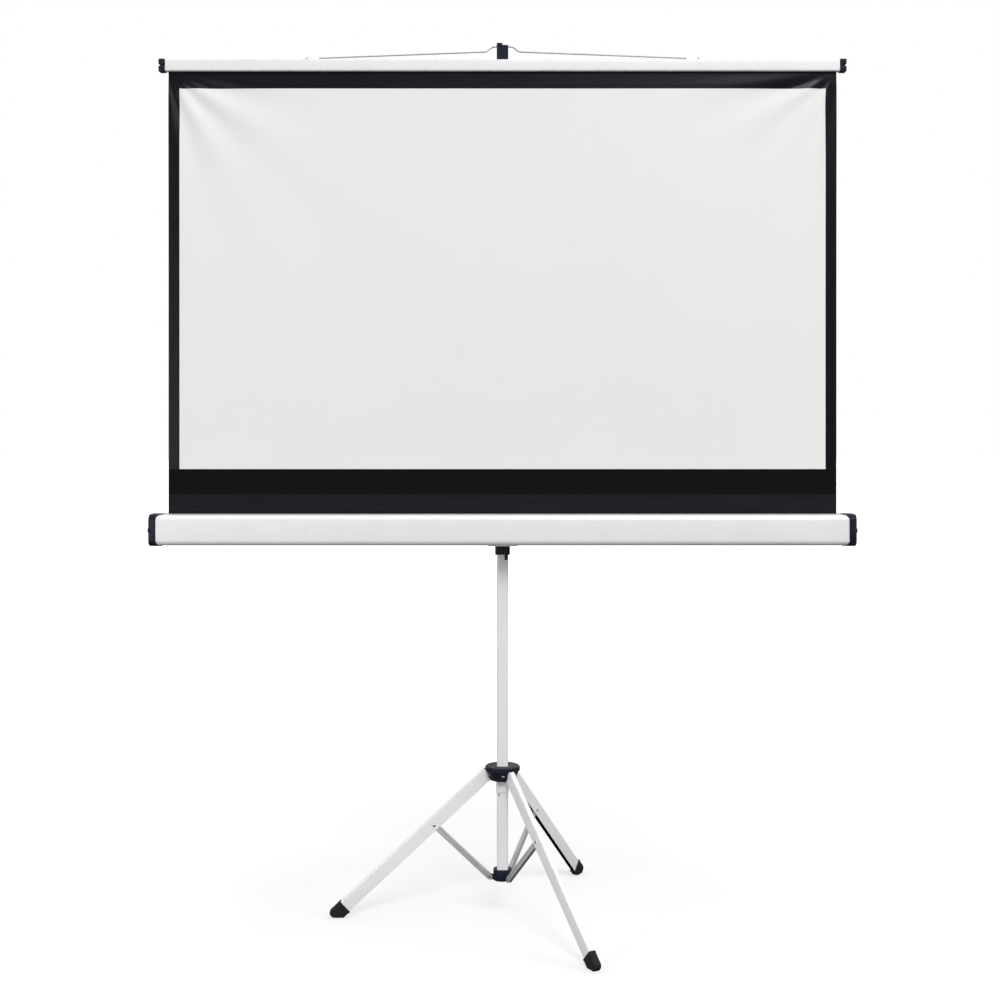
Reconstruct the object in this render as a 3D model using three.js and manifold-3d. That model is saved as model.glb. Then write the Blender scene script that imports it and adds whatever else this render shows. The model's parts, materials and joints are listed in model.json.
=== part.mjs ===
// A tripod projection screen, opened for use: a square telescopic post on three folding legs,
// a roller case that swivels on the post, and a screen drawn up from the case to a hook.
// Millimetres, +Z up. The origin is on the floor under the post, and the viewers sit on the -Y side.
import * as THREE from "three";
import { mergeVertices } from "three/addons/utils/BufferGeometryUtils.js";
import Module from "manifold-3d";

const wasm = await Module();
wasm.setup();

// Driving dimensions: clearances and roundness
const GAP = 0.3;
const PIN_CLEARANCE = 0.4;
const PIN_SIDES = 12;
const ROUND_SIDES = 32;
const CORNER_STEPS = 3;
const PAST = 20; // how far a cutting shape runs past what it cuts

// Driving dimensions: the three tubes of the post
const POST = { side: 28, corner: 5, wall: 1.6, bottom: 100, top: 932 };
const MID = { side: 24, corner: 3.5, wall: 1.4, bottom: 130, top: 1300 };
const EXTENSION = { side: 19, corner: 3, wall: 1.3, bottom: 1215, top: 2150 };
const GUIDE_HEIGHT = 14;
const STOP_RIVET = { x: -8.5, z: 311, radius: 3, height: 2.5 };

// Driving dimensions: the leg linkage, two equal links from a sliding hub and a fixed collar
const LINK = { radius: 32, length: 190, openAngle: THREE.MathUtils.degToRad(47), hubZ: 361 };
LINK.collarZ = LINK.hubZ - 2 * LINK.length * Math.cos(LINK.openAngle);
const LEG_AZIMUTHS = { left: 180, front: 300, back: 60 };
const LEG = { width: 13, wall: 1.3, mouth: 12.1, back: 20, end: 505, topCut: 373, topReach: 11, topNose: 3 };
const STRUT = { width: 8.8, wall: 1.2, half: 7, endRadius: 6.5, webStart: 14, mouthRelief: 3 };
const FOOT = { start: 493, end: 534, wall: 1.8, chamfer: 6 };
const HUB = { bottom: 346, top: 381, slotInner: 19.2, slotHalf: 7.1, slotTop: 374.2 };
const HUB_PROFILE = [[31, 346], [35, 350], [39.5, 366], [43.5, 370], [43.5, 378.5], [41, 381]];
const HUB_SLEEVE = { wall: 1.4, bottom: 316 };
const COLLAR = { radius: 23, bottom: 95, top: 122, lugHalf: 2.8, lugRadius: 6.6, lugRoot: 20 };
const LEG_PIN = { radius: 3, half: 20.5 };
const STRUT_PIN = { radius: 2.5, half: 4.9 };

// Driving dimensions: the two tube locks and their levers
const HEIGHT_LOCK = { side: 37, corner: 6, bottom: 911, top: 938 };
const EXTENSION_LOCK = { side: 32, corner: 5, bottom: 1276, top: 1306 };
const LEVER = { length: 34, thickness: 6, lip: 2, chamfer: 4 };
const HEIGHT_LEVER = { x: 9, width: 8, top: 934 };
const EXTENSION_LEVER = { x: 0, width: 12, top: 1303 };

// Driving dimensions: the roller case and its swivel
const CASE = { front: -118, rear: -53, bottom: 942, top: 1017, half: 845, corner: 14, wall: 1.5 };
const SLOT = { front: -68, rear: -58 };
const CAP = { length: 19.7, proud: 1.5, dome: 6, corner: 15 };
const SWIVEL_Z = 956;
const SADDLE = { half: 36, plate: 3, flange: 2.5, top: 1000, flangeFront: -98 };
const SWIVEL = { pin: 6, washer: 20, washerThick: 3, pinEnd: -24 };
const BRACKET = { side: 36, half: 16, front: -46, bottom: 940, top: 978 };

// Driving dimensions: the spring roller
const ROLLER = { y: -82, z: 978, radius: 16, wall: 1.2, half: 826, roll: 18.5 };
const PLUG = { radius: 14.5, depth: 20, pin: 4, pinReach: 17 };
const ROLLER_PLATE = { at: 833, thick: 2, inset: 3 };
const SHAFT = { radius: 4, inner: 400 };
const SPRING = { start: 430, end: 780, radius: 9.5, wire: 0.9, turns: 18, steps: 8, sides: 5 };

// Driving dimensions: the screen, its slat and its bail
const SCREEN = { half: 824.5, y: -63, thick: 0.5, bottom: 982, top: 2115 };
const SLAT = { front: -74, rear: -52, bottom: 2108, top: 2137, half: 831, corner: 4, wall: 1.6, slot: 4 };
const SLAT_CAP = { length: 16.2, proud: 1.4, dome: 4, corner: 6 };
const HEM_ROD = { radius: 4, half: 822, z: 2119.6 };
const BAIL = { wire: 1.6, y: -63, z: 2141, lean: THREE.MathUtils.degToRad(32), sides: 8 };
const BAIL_OUTLINE = [[-486, 0], [-457, 0], [-40, 22], [-36, 24], [-27, 37], [-22, 39.5]];
const BAIL_CLIP = { inner: 453, outer: 481, half: 5, slope: 2, top: 2145.2, bore: 2.1 };

// Driving dimensions: the hook on the extension tube
const HOOK = { half: 14.25, capBottom: 2128, rightTop: 2178 };
const HOOK_OUTLINE = [
  [12, 2128], [12, 2160], [-34, 2178], [-38.5, 2178], [-38.5, 2170.6], [-45.4, 2170.6],
  [-45.4, 2183], [-50, 2183], [-50, 2138.5], [-30, 2138.5], [-12, 2128],
];

// Finishes
const finish = (color, roughness, metalness) => new THREE.MeshStandardMaterial({ color, roughness, metalness });
const WHITE_ENAMEL = finish(0xe4e5e6, 0.38, 0.1);
const GREY_ENAMEL = finish(0xa3a5a8, 0.42, 0.2);
const BLACK_PLASTIC = finish(0x16191f, 0.45, 0);
const BLACK_RUBBER = finish(0x121314, 0.8, 0);
const BRIGHT_STEEL = finish(0xc4c6c8, 0.28, 1);
const ZINC_STEEL = finish(0xb4b6b8, 0.4, 0.8);
const SCREEN_CLOTH = finish(0xf1f1ef, 0.9, 0);
const ROLLED_CLOTH = finish(0x1b1c1f, 0.85, 0);

// Solids from shapes and rings

function solidOf(geometry) {
  const bare = new THREE.BufferGeometry();
  const flat = geometry.index ? geometry.toNonIndexed() : geometry;
  bare.setAttribute("position", flat.getAttribute("position").clone());
  const merged = mergeVertices(bare, 1e-3);
  const mesh = new wasm.Mesh({
    numProp: 3,
    vertProperties: new Float32Array(merged.attributes.position.array),
    triVerts: new Uint32Array(merged.index.array),
  });
  return new wasm.Manifold(mesh);
}

function geometryOf(solid) {
  const mesh = solid.getMesh();
  const geometry = new THREE.BufferGeometry();
  geometry.setAttribute("position", new THREE.BufferAttribute(mesh.vertProperties, mesh.numProp));
  geometry.setIndex(new THREE.BufferAttribute(mesh.triVerts, 1));
  return geometry;
}

function cut(geometry, ...tools) {
  const rest = tools.reduce((solid, tool) => solid.subtract(solidOf(tool)), solidOf(geometry));
  return geometryOf(rest);
}

function join(geometry, ...others) {
  const whole = others.reduce((solid, other) => solid.add(solidOf(other)), solidOf(geometry));
  return geometryOf(whole);
}

function outline(points) {
  return new THREE.Shape(points.map(([x, y]) => new THREE.Vector2(x, y)));
}

// A rectangle with round corners, from its low and high corners.
function roundedPath(path, x0, y0, x1, y1, r) {
  path.moveTo(x0 + r, y0);
  path.lineTo(x1 - r, y0);
  path.absarc(x1 - r, y0 + r, r, -Math.PI / 2, 0, false);
  path.lineTo(x1, y1 - r);
  path.absarc(x1 - r, y1 - r, r, 0, Math.PI / 2, false);
  path.lineTo(x0 + r, y1);
  path.absarc(x0 + r, y1 - r, r, Math.PI / 2, Math.PI, false);
  path.lineTo(x0, y0 + r);
  path.absarc(x0 + r, y0 + r, r, Math.PI, 1.5 * Math.PI, false);
  return path;
}

const roundedRect = (x0, y0, x1, y1, r) => roundedPath(new THREE.Shape(), x0, y0, x1, y1, r);
const roundedSquare = (side, r) => roundedRect(-side / 2, -side / 2, side / 2, side / 2, r);

function withHole(shape, x0, y0, x1, y1, r) {
  shape.holes.push(roundedPath(new THREE.Path(), x0, y0, x1, y1, r));
  return shape;
}

function extruded(shape, depth) {
  return new THREE.ExtrudeGeometry(shape, { depth, bevelEnabled: false, curveSegments: CORNER_STEPS });
}

// A shape in the XY plane, from one height to another.
function alongZ(shape, low, high) {
  return extruded(shape, high - low).translate(0, 0, low);
}

// A shape whose first axis is Y and second axis is Z, from one X to another.
const YZ_TO_X = new THREE.Matrix4().makeBasis(
  new THREE.Vector3(0, 1, 0),
  new THREE.Vector3(0, 0, 1),
  new THREE.Vector3(1, 0, 0),
);
function alongX(shape, low, high) {
  return extruded(shape, high - low).applyMatrix4(YZ_TO_X).translate(low, 0, 0);
}

// A shape whose first axis is X and second axis is Z, from one Y to another.
function alongY(shape, low, high) {
  return extruded(shape, high - low).rotateX(Math.PI / 2).translate(0, high, 0);
}

function box(x0, x1, y0, y1, z0, z1) {
  const block = new THREE.BoxGeometry(x1 - x0, y1 - y0, z1 - z0);
  return block.translate((x0 + x1) / 2, (y0 + y1) / 2, (z0 + z1) / 2);
}

// A round bar between two values of one axis, "x", "y" or "z".
function bar(axis, radius, low, high, centre, sides = PIN_SIDES) {
  const round = new THREE.CylinderGeometry(radius, radius, high - low, sides);
  if (axis === "x") round.rotateZ(-Math.PI / 2);
  if (axis === "z") round.rotateX(Math.PI / 2);
  const place = new THREE.Vector3(...centre);
  place[axis] = (low + high) / 2;
  return round.translate(place.x, place.y, place.z);
}

// A square tube standing on Z.
function squareTube({ side, corner, wall, bottom, top }) {
  const inner = side / 2 - wall;
  const section = withHole(roundedSquare(side, corner), -inner, -inner, inner, inner, corner - wall);
  return alongZ(section, bottom, top);
}

// A closed body through rings of equal counts, with flat ends.
function loft(rings) {
  const count = rings[0].length;
  const points = rings.flat();
  const faces = [];
  for (let r = 0; r + 1 < rings.length; r += 1) {
    for (let i = 0; i < count; i += 1) {
      const a = r * count + i;
      const b = r * count + ((i + 1) % count);
      faces.push(a, b, b + count, a, b + count, a + count);
    }
  }
  const last = (rings.length - 1) * count;
  for (let i = 1; i + 1 < count; i += 1) {
    faces.push(0, i + 1, i, last, last + i, last + i + 1);
  }
  const geometry = new THREE.BufferGeometry().setFromPoints(points);
  geometry.setIndex(faces);
  return geometry;
}

// A round wire along points, with a ring square to the way at each one.
function wireAlong(points, radius, sides) {
  const rings = points.map((point, i) => {
    const before = points[Math.max(i - 1, 0)];
    const after = points[Math.min(i + 1, points.length - 1)];
    const along = after.clone().sub(before).normalize();
    const side = new THREE.Vector3(0, 1, 0).cross(along).normalize();
    const up = along.clone().cross(side);
    return Array.from({ length: sides }, (_, k) => {
      const turn = (2 * Math.PI * k) / sides;
      const out = side.clone().multiplyScalar(radius * Math.cos(turn));
      return out.addScaledVector(up, radius * Math.sin(turn)).add(point);
    });
  });
  return loft(rings);
}

// A domed end cap with a rounded outline in Y and Z, from its inner face at x = 0 outwards along +X.
function domedCap(edges, { length, dome, corner }) {
  const ring = (x, inset) => {
    const round = Math.max(corner - inset, 1);
    const shape = roundedRect(
      edges.front + inset, edges.bottom + inset, edges.rear - inset, edges.top - inset, round,
    );
    const points = shape.getPoints(CORNER_STEPS);
    const closed = points[0].distanceTo(points.at(-1)) < 1e-6;
    return (closed ? points.slice(0, -1) : points).map(({ x: y, y: z }) => new THREE.Vector3(x, y, z));
  };
  const shoulder = length - dome;
  return loft([ring(0, 0), ring(shoulder, 0), ring(shoulder + 0.6 * dome, 0.35 * dome), ring(length, dome)]);
}

function mirroredX(geometry) {
  const mirrored = geometry.index ? geometry.toNonIndexed() : geometry.clone();
  const position = mirrored.getAttribute("position");
  const flipped = new Float32Array(position.array.length);
  for (let i = 0; i < position.count; i += 1) {
    const from = i % 3 === 1 ? i + 1 : i % 3 === 2 ? i - 1 : i;
    flipped.set([-position.getX(from), position.getY(from), position.getZ(from)], 3 * i);
  }
  return new THREE.BufferGeometry().setAttribute("position", new THREE.BufferAttribute(flipped, 3));
}

const screen = new THREE.Group();

function piece(name, geometry, material, parent = screen) {
  const mesh = new THREE.Mesh(geometry, material);
  mesh.name = name;
  parent.add(mesh);
  return mesh;
}

// The fixed post: its outer tube, the collar at its foot and the rivet that stops the hub

function collarGeometry() {
  const body = bar("z", COLLAR.radius, COLLAR.bottom, COLLAR.top, [0, 0, 0], ROUND_SIDES);
  const socketSide = POST.side + 2 * GAP;
  const socket = alongZ(roundedSquare(socketSide, POST.corner), POST.bottom - GAP, COLLAR.top + 1);
  let whole = cut(body, socket);
  for (const azimuth of Object.values(LEG_AZIMUTHS)) {
    const turn = THREE.MathUtils.degToRad(azimuth);
    const { lugHalf, lugRadius, lugRoot } = COLLAR;
    const pivot = [LINK.radius, 0, LINK.collarZ];
    const lug = join(
      box(lugRoot, LINK.radius, -lugHalf, lugHalf, COLLAR.bottom, LINK.collarZ + lugRadius),
      bar("y", lugRadius, -lugHalf, lugHalf, pivot),
    );
    const hole = bar("y", STRUT_PIN.radius + PIN_CLEARANCE, -lugHalf - 1, lugHalf + 1, pivot);
    whole = cut(join(whole, lug.rotateZ(turn)), hole.rotateZ(turn));
  }
  return whole;
}

piece("outer_post", squareTube(POST), WHITE_ENAMEL);
piece("bottom_collar", collarGeometry(), BLACK_PLASTIC);
const rivetFoot = -POST.side / 2 - GAP;
piece(
  "hub_stop_rivet",
  bar("y", STOP_RIVET.radius, rivetFoot - STOP_RIVET.height, rivetFoot, [STOP_RIVET.x, 0, STOP_RIVET.z]),
  BRIGHT_STEEL,
);

// The sliding hub, slotted for the three legs, and the sleeve under it

function hubGeometry() {
  const profile = [[0, HUB.bottom], ...HUB_PROFILE, [0, HUB.top]].map(([r, z]) => new THREE.Vector2(r, z));
  const body = new THREE.LatheGeometry(profile, ROUND_SIDES).rotateX(Math.PI / 2);
  const bore = alongZ(roundedSquare(POST.side + 2 * PIN_CLEARANCE, POST.corner), HUB.bottom - 1, HUB.top + 1);
  const far = HUB.top - HUB.bottom + PAST;
  const cuts = Object.values(LEG_AZIMUTHS).flatMap((azimuth) => {
    const turn = THREE.MathUtils.degToRad(azimuth);
    const slot = box(HUB.slotInner, far, -HUB.slotHalf, HUB.slotHalf, HUB.bottom - 1, HUB.slotTop);
    const hole = bar("y", LEG_PIN.radius + PIN_CLEARANCE, -far, far, [LINK.radius, 0, LINK.hubZ]);
    return [slot.rotateZ(turn), hole.rotateZ(turn)];
  });
  return cut(body, bore, ...cuts);
}

const sleeveSide = POST.side + 2 * (PIN_CLEARANCE + HUB_SLEEVE.wall);
const hubSleeve = { ...HUB_SLEEVE, side: sleeveSide, corner: POST.corner + 1, top: HUB.bottom - GAP };
piece("hub", hubGeometry(), BLACK_PLASTIC);
piece("hub_sleeve", squareTube(hubSleeve), WHITE_ENAMEL);

// Three legs with their feet and struts, each drawn in its own upright plane and turned into place

// A point of the open leg: how far down it from the hub pivot, and how far towards its back.
function onLeg(down, out) {
  const { radius, hubZ, openAngle } = LINK;
  const x = radius + down * Math.sin(openAngle) + out * Math.cos(openAngle);
  return [x, hubZ - down * Math.cos(openAngle) + out * Math.sin(openAngle)];
}

// A point of the open strut: how far up it from the collar pivot, and how far towards its open side.
function onStrut(up, out) {
  const { radius, collarZ, openAngle } = LINK;
  const x = radius + up * Math.sin(openAngle) + out * Math.cos(openAngle);
  return [x, collarZ + up * Math.cos(openAngle) - out * Math.sin(openAngle)];
}

const downAtHeight = (z, out) => (LINK.hubZ + out * Math.sin(LINK.openAngle) - z) / Math.cos(LINK.openAngle);
const outAtHeight = (z, down) => (z - LINK.hubZ + down * Math.cos(LINK.openAngle)) / Math.sin(LINK.openAngle);
const acrossLeg = (points, half) => alongY(outline(points), -half, half);
const crossBar = (radius, half, [x, z]) => bar("y", radius, -half, half, [x, 0, z]);

function legGeometry() {
  const { mouth, back, wall, width, end, topCut, topReach, topNose } = LEG;
  const outer = acrossLeg([
    onLeg(end, -mouth), onLeg(end, back), onLeg(downAtHeight(topCut, back), back),
    onLeg(-topReach, outAtHeight(topCut, -topReach)), onLeg(-topReach, -topNose), onLeg(0, -mouth),
  ], width / 2);
  const inner = acrossLeg([
    onLeg(end + PAST, -mouth - PAST), onLeg(end + PAST, back - wall),
    onLeg(-topReach - PAST, back - wall), onLeg(-topReach - PAST, -mouth - PAST),
  ], width / 2 - wall);
  return cut(outer, inner, crossBar(LEG_PIN.radius + PIN_CLEARANCE, width, onLeg(0, 0)));
}

function footGeometry() {
  const { mouth, back, width, end } = LEG;
  const low = mouth + FOOT.wall;
  const high = back + FOOT.wall;
  const sole = outAtHeight(0, FOOT.end);
  const outer = acrossLeg([
    onLeg(FOOT.start, -low), onLeg(downAtHeight(0, -low), -low), onLeg(FOOT.end, sole),
    onLeg(FOOT.end, high - FOOT.chamfer), onLeg(FOOT.end - FOOT.chamfer, high), onLeg(FOOT.start, high),
  ], width / 2 + FOOT.wall);
  const socket = acrossLeg([
    onLeg(FOOT.start - PAST, -mouth - GAP), onLeg(end + GAP, -mouth - GAP),
    onLeg(end + GAP, back + GAP), onLeg(FOOT.start - PAST, back + GAP),
  ], width / 2 + GAP);
  return cut(outer, socket);
}

function strutGeometry() {
  const { half, endRadius, wall, width, webStart, mouthRelief } = STRUT;
  const shoulder = endRadius * 0.45;
  const outer = acrossLeg([
    onStrut(-endRadius, -shoulder), onStrut(-endRadius, shoulder), onStrut(-shoulder, endRadius),
    onStrut(mouthRelief, half), onStrut(LINK.length + shoulder, half),
    onStrut(LINK.length + half, shoulder), onStrut(LINK.length + half, -shoulder),
    onStrut(LINK.length + shoulder, -half), onStrut(mouthRelief, -half), onStrut(-shoulder, -endRadius),
  ], width / 2);
  const tip = LINK.length + PAST;
  const channel = acrossLeg([
    onStrut(webStart, -half + wall), onStrut(webStart, -half - PAST), onStrut(-PAST, -half - PAST),
    onStrut(-PAST, half + PAST), onStrut(tip, half + PAST), onStrut(tip, -half + wall),
  ], width / 2 - wall);
  const bore = STRUT_PIN.radius + PIN_CLEARANCE;
  const holes = [0, LINK.length].map((up) => crossBar(bore, width, onStrut(up, 0)));
  return cut(outer, channel, ...holes);
}

for (const [side, azimuth] of Object.entries(LEG_AZIMUTHS)) {
  const plane = new THREE.Group();
  plane.rotation.z = THREE.MathUtils.degToRad(azimuth);
  screen.add(plane);
  piece(`leg_${side}`, legGeometry(), WHITE_ENAMEL, plane);
  piece(`foot_${side}`, footGeometry(), BLACK_RUBBER, plane);
  piece(`leg_pin_${side}`, crossBar(LEG_PIN.radius, LEG_PIN.half, onLeg(0, 0)), BRIGHT_STEEL, plane);
  piece(`strut_${side}`, strutGeometry(), ZINC_STEEL, plane);
  for (const [end, up] of [["lower", 0], ["upper", LINK.length]]) {
    const pin = crossBar(STRUT_PIN.radius, STRUT_PIN.half, onStrut(up, 0));
    piece(`strut_${end}_pin_${side}`, pin, BRIGHT_STEEL, plane);
  }
}

// The two tube locks, each a collar on the end of a tube with a flip lever

function lockGeometry(lock, outerTube, innerTube) {
  const around = (tube) => roundedSquare(tube.side + 2 * GAP, tube.corner);
  const body = alongZ(roundedSquare(lock.side, lock.corner), lock.bottom, lock.top);
  const seat = alongZ(around(outerTube), lock.bottom - 1, outerTube.top + GAP);
  const mouth = alongZ(around(innerTube), lock.bottom - 1, lock.top + 1);
  return cut(body, seat, mouth);
}

// A lever that hangs flat on a lock's face and turns about its own upper inner edge.
function leverGeometry({ x, width, top }, nearY, outward) {
  const { thickness, length, lip, chamfer } = LEVER;
  const far = nearY + outward * thickness;
  const tip = nearY + outward * thickness * 0.55;
  const low = top - length;
  const side = [
    [nearY, top], [nearY, low], [tip, low - lip], [far, low + chamfer], [far, top - chamfer], [tip, top],
  ];
  const ordered = outward > 0 ? side.reverse() : side;
  return alongX(outline(ordered), x - width / 2, x + width / 2);
}

const heightLeverY = -HEIGHT_LOCK.side / 2 - GAP;
const extensionLeverY = EXTENSION_LOCK.side / 2 + GAP;
piece("height_lock_collar", lockGeometry(HEIGHT_LOCK, POST, MID), BLACK_PLASTIC);
piece("height_lock_lever", leverGeometry(HEIGHT_LEVER, heightLeverY, -1), BLACK_PLASTIC);
piece("extension_lock_collar", lockGeometry(EXTENSION_LOCK, MID, EXTENSION), BLACK_PLASTIC);
piece("extension_lock_lever", leverGeometry(EXTENSION_LEVER, extensionLeverY, 1), BLACK_PLASTIC);

// The middle tube, its guide and the bracket that carries the case

function guideGeometry(tube, below) {
  const inside = tube.side - 2 * tube.wall - 2 * GAP;
  return alongZ(roundedSquare(inside, tube.corner - tube.wall), below - GAP - GUIDE_HEIGHT, below - GAP);
}

function bracketGeometry() {
  const half = BRACKET.side / 2;
  const plan = outline([
    [-half, half], [-half, -half], [-BRACKET.half, -half], [-BRACKET.half, BRACKET.front],
    [BRACKET.half, BRACKET.front], [BRACKET.half, -half], [half, -half], [half, half],
  ]);
  const inner = MID.side / 2 + GAP;
  const block = alongZ(withHole(plan, -inner, -inner, inner, inner, MID.corner), BRACKET.bottom, BRACKET.top);
  const bore = bar("y", SWIVEL.pin + PIN_CLEARANCE, BRACKET.front - 1, SWIVEL.pinEnd + 1, [0, 0, SWIVEL_Z]);
  return cut(block, bore);
}

piece("mid_tube", squareTube(MID), WHITE_ENAMEL);
piece("mid_guide", guideGeometry(POST, MID.bottom), BLACK_PLASTIC);
piece("case_bracket", bracketGeometry(), BLACK_PLASTIC);

// The swivel: a washer, a pin and the saddle plate that holds the case

function saddleGeometry() {
  const back = CASE.rear + GAP;
  const under = CASE.bottom - GAP;
  const side = outline([
    [back, SADDLE.top], [back, under], [SADDLE.flangeFront, under], [SADDLE.flangeFront, under - SADDLE.flange],
    [back + SADDLE.plate, under - SADDLE.flange], [back + SADDLE.plate, SADDLE.top],
  ]);
  return alongX(side, -SADDLE.half, SADDLE.half);
}

function washerGeometry() {
  const high = BRACKET.front - GAP;
  const low = high - SWIVEL.washerThick;
  const disc = bar("y", SWIVEL.washer, low, high, [0, 0, SWIVEL_Z], ROUND_SIDES);
  return cut(disc, bar("y", SWIVEL.pin + PIN_CLEARANCE, low - 1, high + 1, [0, 0, SWIVEL_Z]));
}

const saddleRear = CASE.rear + GAP + SADDLE.plate;
piece("case_saddle", saddleGeometry(), WHITE_ENAMEL);
piece("swivel_washer", washerGeometry(), BRIGHT_STEEL);
piece("swivel_pin", bar("y", SWIVEL.pin, saddleRear + GAP, SWIVEL.pinEnd, [0, 0, SWIVEL_Z]), BRIGHT_STEEL);

// The roller case: a drawn shell with a slot along its top, and two end caps

function shellGeometry() {
  const { front, rear, bottom, top, half, corner, wall } = CASE;
  const section = roundedRect(front, bottom, rear, top, corner);
  withHole(section, front + wall, bottom + wall, rear - wall, top - wall, corner - wall);
  const slot = box(-half - 1, half + 1, SLOT.front, SLOT.rear, top - 3 * wall, top + 1);
  return cut(alongX(section, -half, half), slot);
}

const capEdges = {
  front: CASE.front - CAP.proud,
  rear: CASE.rear + CAP.proud,
  bottom: CASE.bottom - CAP.proud,
  top: CASE.top + CAP.proud,
};
const capRight = domedCap(capEdges, CAP).translate(CASE.half + GAP, 0, 0);
piece("case_shell", shellGeometry(), WHITE_ENAMEL);
piece("case_cap_left", mirroredX(capRight), BLACK_PLASTIC);
piece("case_cap_right", capRight, BLACK_PLASTIC);

// The spring roller inside the case, with what is left of the screen wound on it

const rollerRing = (outer, inner) => {
  const ring = new THREE.Shape().absarc(ROLLER.y, ROLLER.z, outer, 0, 2 * Math.PI);
  ring.holes.push(new THREE.Path().absarc(ROLLER.y, ROLLER.z, inner, 0, 2 * Math.PI));
  return ring;
};
const roundAlongX = (shape, low, high) => {
  const depth = high - low;
  const round = new THREE.ExtrudeGeometry(shape, { depth, bevelEnabled: false, curveSegments: ROUND_SIDES / 2 });
  return round.applyMatrix4(YZ_TO_X).translate(low, 0, 0);
};
const onRoller = [0, ROLLER.y, ROLLER.z];
const boreRadius = ROLLER.radius - ROLLER.wall;
const plugInner = ROLLER.half - PLUG.depth;
const pinEnd = ROLLER.half + PLUG.pinReach;

function rollerPlate() {
  const { at, thick, inset } = ROLLER_PLATE;
  const edge = CASE.wall + inset;
  const shape = roundedRect(
    CASE.front + edge, CASE.bottom + edge, CASE.rear - edge, CASE.top - edge, CASE.corner - edge,
  );
  const hole = bar("x", PLUG.pin + PIN_CLEARANCE, at - 1, at + thick + 1, onRoller);
  return cut(alongX(shape, at, at + thick), hole);
}

function springPoints() {
  const steps = SPRING.turns * SPRING.steps;
  return Array.from({ length: steps + 1 }, (_, i) => {
    const turn = (2 * Math.PI * i) / SPRING.steps;
    const x = SPRING.start + ((SPRING.end - SPRING.start) * i) / steps;
    const y = ROLLER.y + SPRING.radius * Math.cos(turn);
    return new THREE.Vector3(x, y, ROLLER.z + SPRING.radius * Math.sin(turn));
  });
}

// A wire along a helix on X, whose rings lean out from the axis so that they never twist.
function coilWire(points) {
  const rings = points.map((point) => {
    const out = new THREE.Vector3(0, point.y - ROLLER.y, point.z - ROLLER.z).normalize();
    return Array.from({ length: SPRING.sides }, (_, k) => {
      const turn = (2 * Math.PI * k) / SPRING.sides;
      const across = new THREE.Vector3(-SPRING.wire * Math.sin(turn), 0, 0);
      return across.addScaledVector(out, SPRING.wire * Math.cos(turn)).add(point);
    });
  });
  return loft(rings);
}

const rollerTube = rollerRing(ROLLER.radius, boreRadius);
piece("roller_tube", roundAlongX(rollerTube, -ROLLER.half, ROLLER.half), GREY_ENAMEL);
piece(
  "screen_roll",
  roundAlongX(rollerRing(ROLLER.roll, ROLLER.radius + GAP), -SCREEN.half, SCREEN.half),
  ROLLED_CLOTH,
);
const leftPlug = join(
  bar("x", PLUG.radius, -ROLLER.half, -plugInner, onRoller, ROUND_SIDES / 2),
  bar("x", PLUG.pin, -pinEnd, -plugInner - 1, onRoller),
);
piece("roller_plug_left", leftPlug, BLACK_PLASTIC);
const rightPlug = bar("x", PLUG.radius, plugInner, ROLLER.half, onRoller, ROUND_SIDES / 2);
const shaftBore = bar("x", SHAFT.radius + PIN_CLEARANCE, plugInner - 1, ROLLER.half + 1, onRoller);
piece("roller_plug_right", cut(rightPlug, shaftBore), BLACK_PLASTIC);
piece("spring_shaft", bar("x", SHAFT.radius, SHAFT.inner, pinEnd, onRoller), BRIGHT_STEEL);
piece("roller_spring", coilWire(springPoints()), BRIGHT_STEEL);
piece("roller_plate_left", mirroredX(rollerPlate()), BRIGHT_STEEL);
piece("roller_plate_right", rollerPlate(), BRIGHT_STEEL);

// The screen cloth and the slat that draws it up

function slatGeometry() {
  const { front, rear, bottom, top, half, corner, wall, slot } = SLAT;
  const section = roundedRect(front, bottom, rear, top, corner);
  withHole(section, front + wall, bottom + wall, rear - wall, top - wall, corner - wall);
  const mouth = box(-half - 1, half + 1, SCREEN.y - slot / 2, SCREEN.y + slot / 2, bottom - 1, bottom + 3 * wall);
  return cut(alongX(section, -half, half), mouth);
}

const slatCapEdges = {
  front: SLAT.front - SLAT_CAP.proud,
  rear: SLAT.rear + SLAT_CAP.proud,
  bottom: SLAT.bottom - SLAT_CAP.proud,
  top: SLAT.top + SLAT_CAP.proud,
};
const slatCapRight = domedCap(slatCapEdges, SLAT_CAP).translate(SLAT.half + GAP, 0, 0);
const clothFront = SCREEN.y - SCREEN.thick / 2;
piece(
  "screen_cloth",
  box(-SCREEN.half, SCREEN.half, clothFront, clothFront + SCREEN.thick, SCREEN.bottom, SCREEN.top),
  SCREEN_CLOTH,
);
piece("slat", slatGeometry(), WHITE_ENAMEL);
piece("slat_cap_left", mirroredX(slatCapRight), BLACK_PLASTIC);
piece("slat_cap_right", slatCapRight, BLACK_PLASTIC);
piece("hem_rod", bar("x", HEM_ROD.radius, -HEM_ROD.half, HEM_ROD.half, [0, SCREEN.y, HEM_ROD.z]), BRIGHT_STEEL);

// The wire bail on the slat, held at both ends by a clip

function bailGeometry() {
  const mirrored = BAIL_OUTLINE.map(([x, up]) => [-x, up]).reverse();
  const points = [...BAIL_OUTLINE, ...mirrored].map(([x, up]) => {
    const y = BAIL.y + up * Math.sin(BAIL.lean);
    return new THREE.Vector3(x, y, BAIL.z + up * Math.cos(BAIL.lean));
  });
  return wireAlong(points, BAIL.wire, BAIL.sides);
}

function clipGeometry() {
  const { inner, outer, half, slope, top, bore } = BAIL_CLIP;
  const foot = SLAT.top + GAP;
  const side = [[-half, foot], [half, foot], [half - slope, top], [slope - half, top]];
  const block = alongX(outline(side.map(([y, z]) => [BAIL.y + y, z])), inner, outer);
  return cut(block, bar("x", bore, inner - 1, outer + 1, [0, BAIL.y, BAIL.z]));
}

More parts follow.
